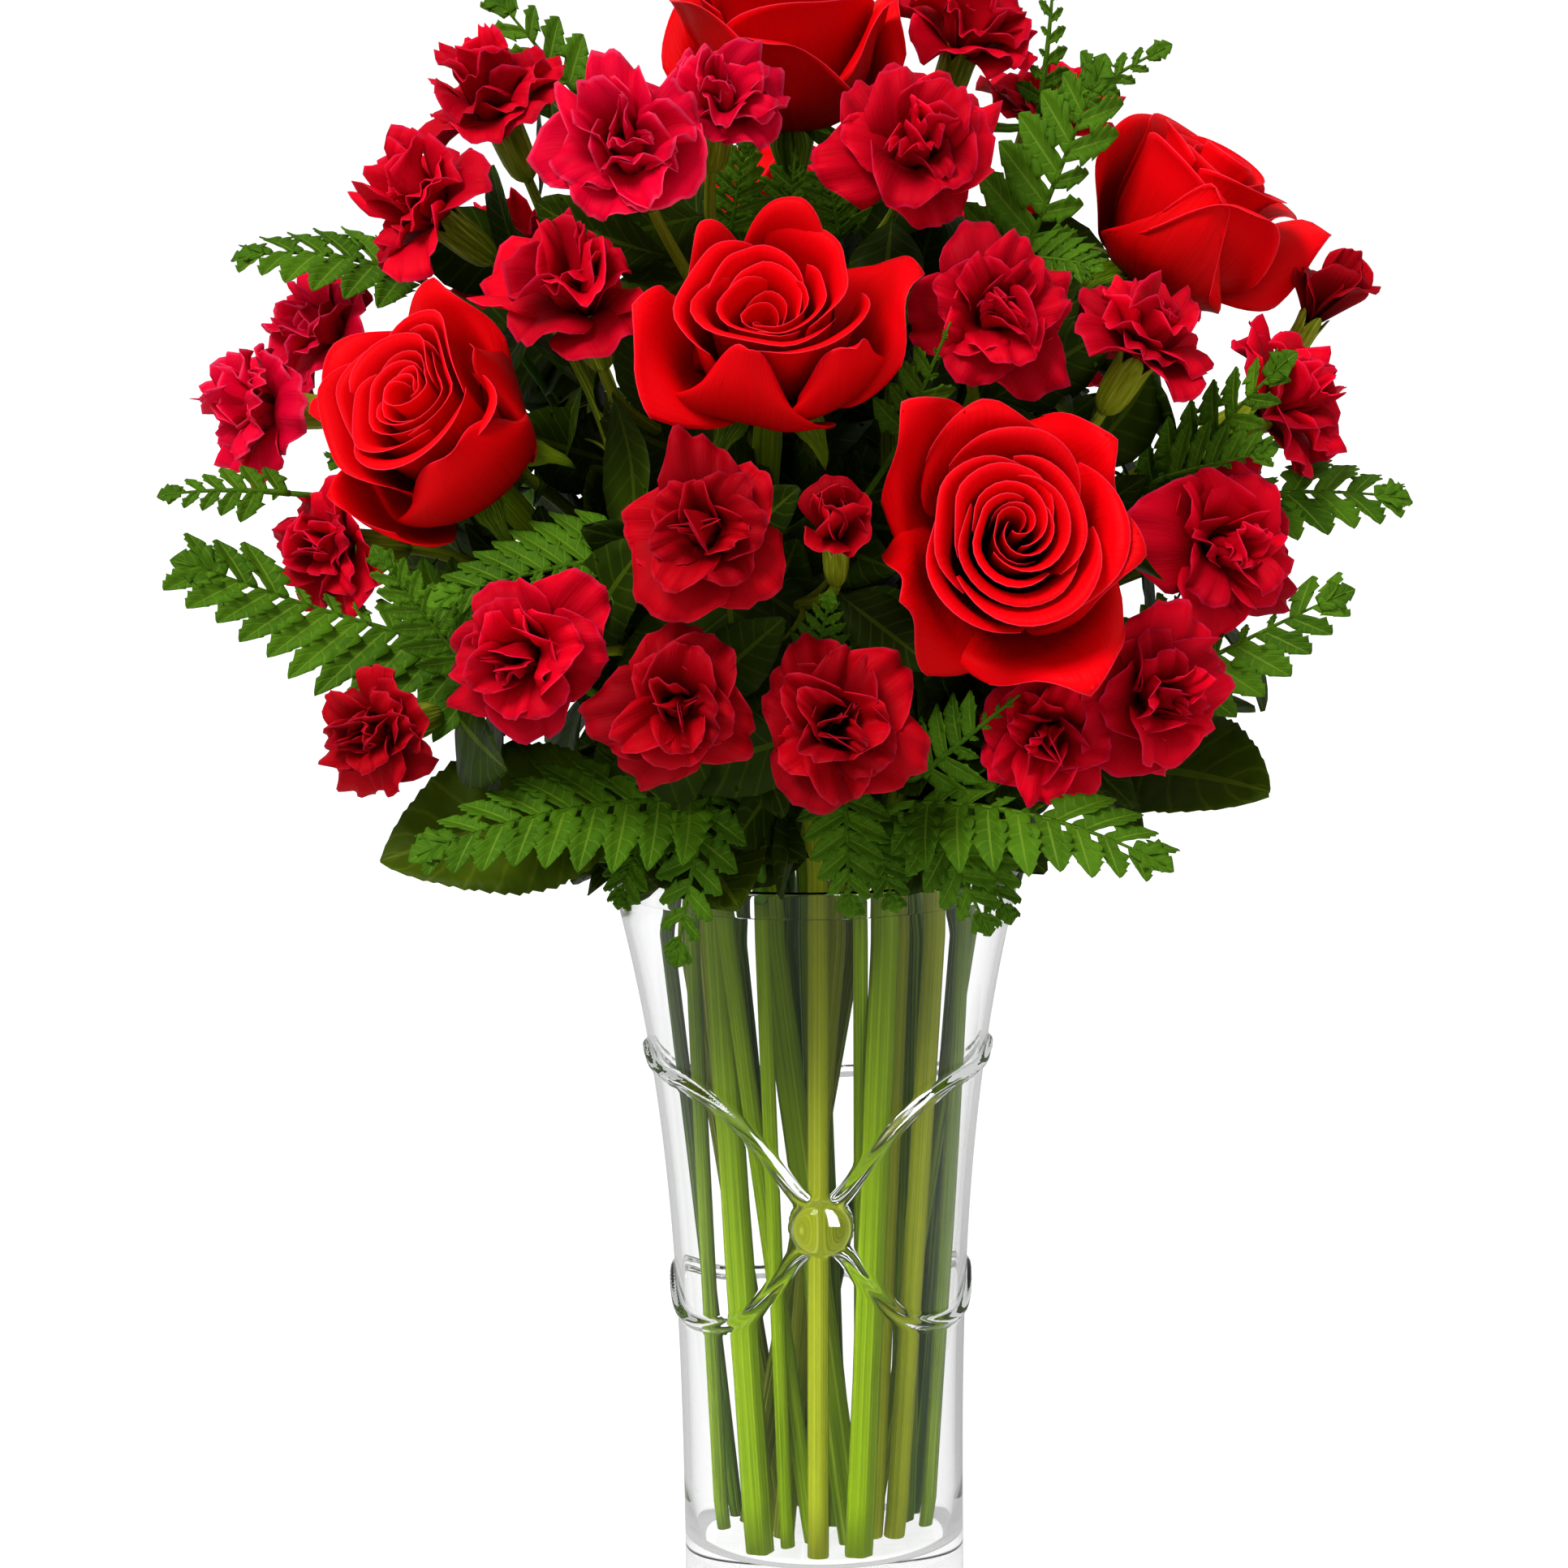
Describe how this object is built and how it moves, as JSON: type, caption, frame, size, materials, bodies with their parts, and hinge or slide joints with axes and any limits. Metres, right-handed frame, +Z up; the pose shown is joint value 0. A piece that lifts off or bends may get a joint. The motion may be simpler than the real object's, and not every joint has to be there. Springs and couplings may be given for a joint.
{
  "type": "carnations in a vase",
  "caption": "Mini carnations and red roses with fern fronds and broad leaves, standing in water in a clear flared glass vase with raised threads.",
  "frame": {"origin": "middle of the vase's flat underside", "axes": "+Z up, the front of the bouquet and the glass gem look along -Y"},
  "size_m": [0.3519, 0.2845, 0.4914],
  "materials": {
    "vase_glass": "clear, polished, with a thick foot",
    "water": "clear still water",
    "rose_petal": "velvety bright red petals, darker in the folds",
    "carnation_petal": "crimson petals with paler frilled edges",
    "rose_stem": "smooth yellow-green stem, hip and sepals",
    "carnation_stem": "pale green stem and calyx with a waxy bloom",
    "broad_leaf": "dark glossy leaf with toothed edges",
    "fern": "satin green frond"
  },
  "bodies": {
    "root": {"bud_front": "carnation_petal", "bud_right": "carnation_petal", "carnation_back_left": "carnation_petal", "carnation_back_low": "carnation_petal", "carnation_back_right": "carnation_petal", "carnation_behind_right": "carnation_petal", "carnation_bottom_left": "carnation_petal", "carnation_bottom_right": "carnation_petal", "carnation_far_right": "carnation_petal", "carnation_front_left": "carnation_petal", "carnation_front_middle": "carnation_petal", "carnation_left_far": "carnation_petal", "carnation_left_high": "carnation_petal", "carnation_left_low": "carnation_petal", "carnation_low_far_right": "carnation_petal", "carnation_low_left": "carnation_petal", "carnation_low_middle": "carnation_petal", "carnation_middle_right": "carnation_petal", "carnation_over_left_rose": "carnation_petal", "carnation_over_low_rose": "carnation_petal", "carnation_top_left": "carnation_petal", "carnation_top_pale": "carnation_petal", "carnation_top_pink": "carnation_petal", "carnation_top_right": "carnation_petal", "carnation_under_top_rose": "carnation_petal", "carnation_upper_left": "carnation_petal", "fern_back_left": "fern", "fern_back_right": "fern", "fern_bottom_left": "fern", "fern_bottom_right": "fern", "fern_left": "fern", "fern_left_low": "fern", "fern_right": "fern", "fern_right_low": "fern", "fern_top_left": "fern", "fern_upper_right": "fern", "leafy_stem_back": "broad_leaf", "leafy_stem_left": "broad_leaf", "leafy_stem_right": "broad_leaf", "rose_back": "rose_petal", "rose_front": "rose_petal", "rose_left": "rose_petal", "rose_low_right": "rose_petal", "rose_right": "rose_petal", "rose_stem_back": "rose_stem", "rose_stem_front": "rose_stem", "rose_stem_left": "rose_stem", "rose_stem_low_right": "rose_stem", "rose_stem_right": "rose_stem", "rose_stem_top": "rose_stem", "rose_top": "rose_petal", "spray_front": "carnation_stem", "spray_low_left": "carnation_stem", "spray_low_right": "carnation_stem", "spray_right": "carnation_stem", "spray_top": "carnation_stem", "spray_upper_left": "carnation_stem", "spray_upper_right": "carnation_stem", "vase": "vase_glass", "water": "water"}
  },
  "joints": []
}
